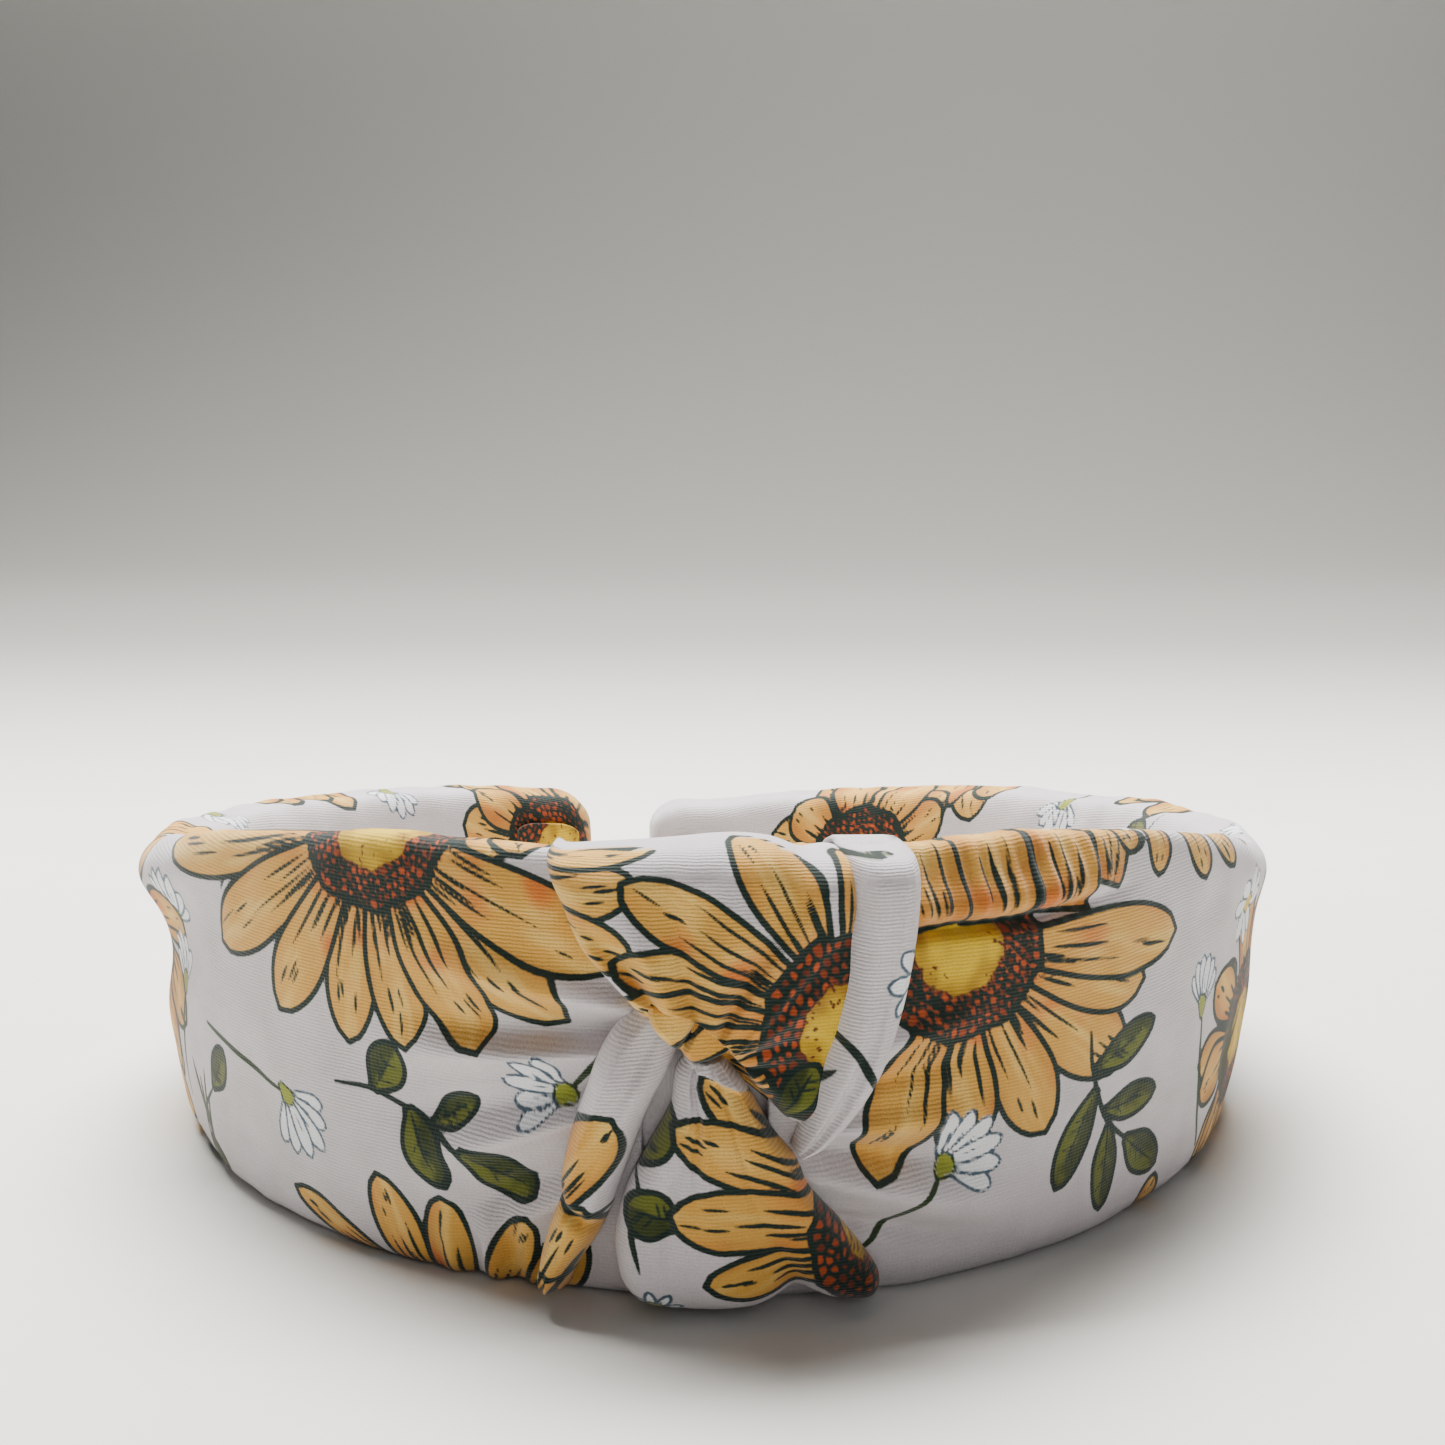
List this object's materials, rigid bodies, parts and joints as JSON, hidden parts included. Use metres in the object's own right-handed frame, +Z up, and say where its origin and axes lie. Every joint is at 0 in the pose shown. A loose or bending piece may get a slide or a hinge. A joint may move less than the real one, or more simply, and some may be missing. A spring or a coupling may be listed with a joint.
{
  "type": "knotted headband",
  "caption": "Rigid hoop headband in a padded knit sleeve with a twisted fabric knot over the crown; its sprung arms open to go over the head.",
  "frame": {"origin": "centre of the box's base, with the band lying on its lower edge", "axes": "+Z up as it lies, -Y towards the crown and its knot, +Y towards the two ends, +X to the right as seen from in front of the knot"},
  "size_m": [0.1516, 0.1671, 0.0535],
  "materials": {
    "printed_knit": "brushed knit printed with sunflowers, daisies and leaf sprigs",
    "knot_knit": "the same brushed knit, where the sunflower petals fall",
    "core_plastic": "moulded, satin",
    "foam": "soft open-cell padding",
    "thread": "spun polyester thread"
  },
  "bodies": {
    "crown": {"core_crown": "core_plastic", "foam_crown": "foam", "crown_lining": "printed_knit", "knot_upper_lobe": "knot_knit", "knot_lower_lobe": "knot_knit", "knot_right_strand": "printed_knit", "knot_left_strand": "printed_knit", "knot_centre_tuck": "knot_knit", "knot_tack_stitch": "thread"},
    "left_arm": {"core_left_arm": "core_plastic", "foam_left": "foam", "sleeve_left": "printed_knit", "seam_left": "thread", "end_fold_left": "printed_knit"},
    "right_arm": {"core_right_arm": "core_plastic", "foam_right": "foam", "sleeve_right": "printed_knit", "seam_right": "thread", "end_fold_right": "printed_knit"}
  },
  "joints": [
    {"name": "left_flex", "type": "hinge", "parent": "crown", "child": "left_arm", "pos_m": [-0.0225, -0.06546, 0], "axis": [0, 0, 1], "range_deg": [-1.5, 15], "stiffness_Nm_per_rad": 2.5},
    {"name": "right_flex", "type": "hinge", "parent": "crown", "child": "right_arm", "pos_m": [0.0225, -0.06546, 0], "axis": [0, 0, -1], "range_deg": [-1.5, 15], "stiffness_Nm_per_rad": 2.5}
  ]
}
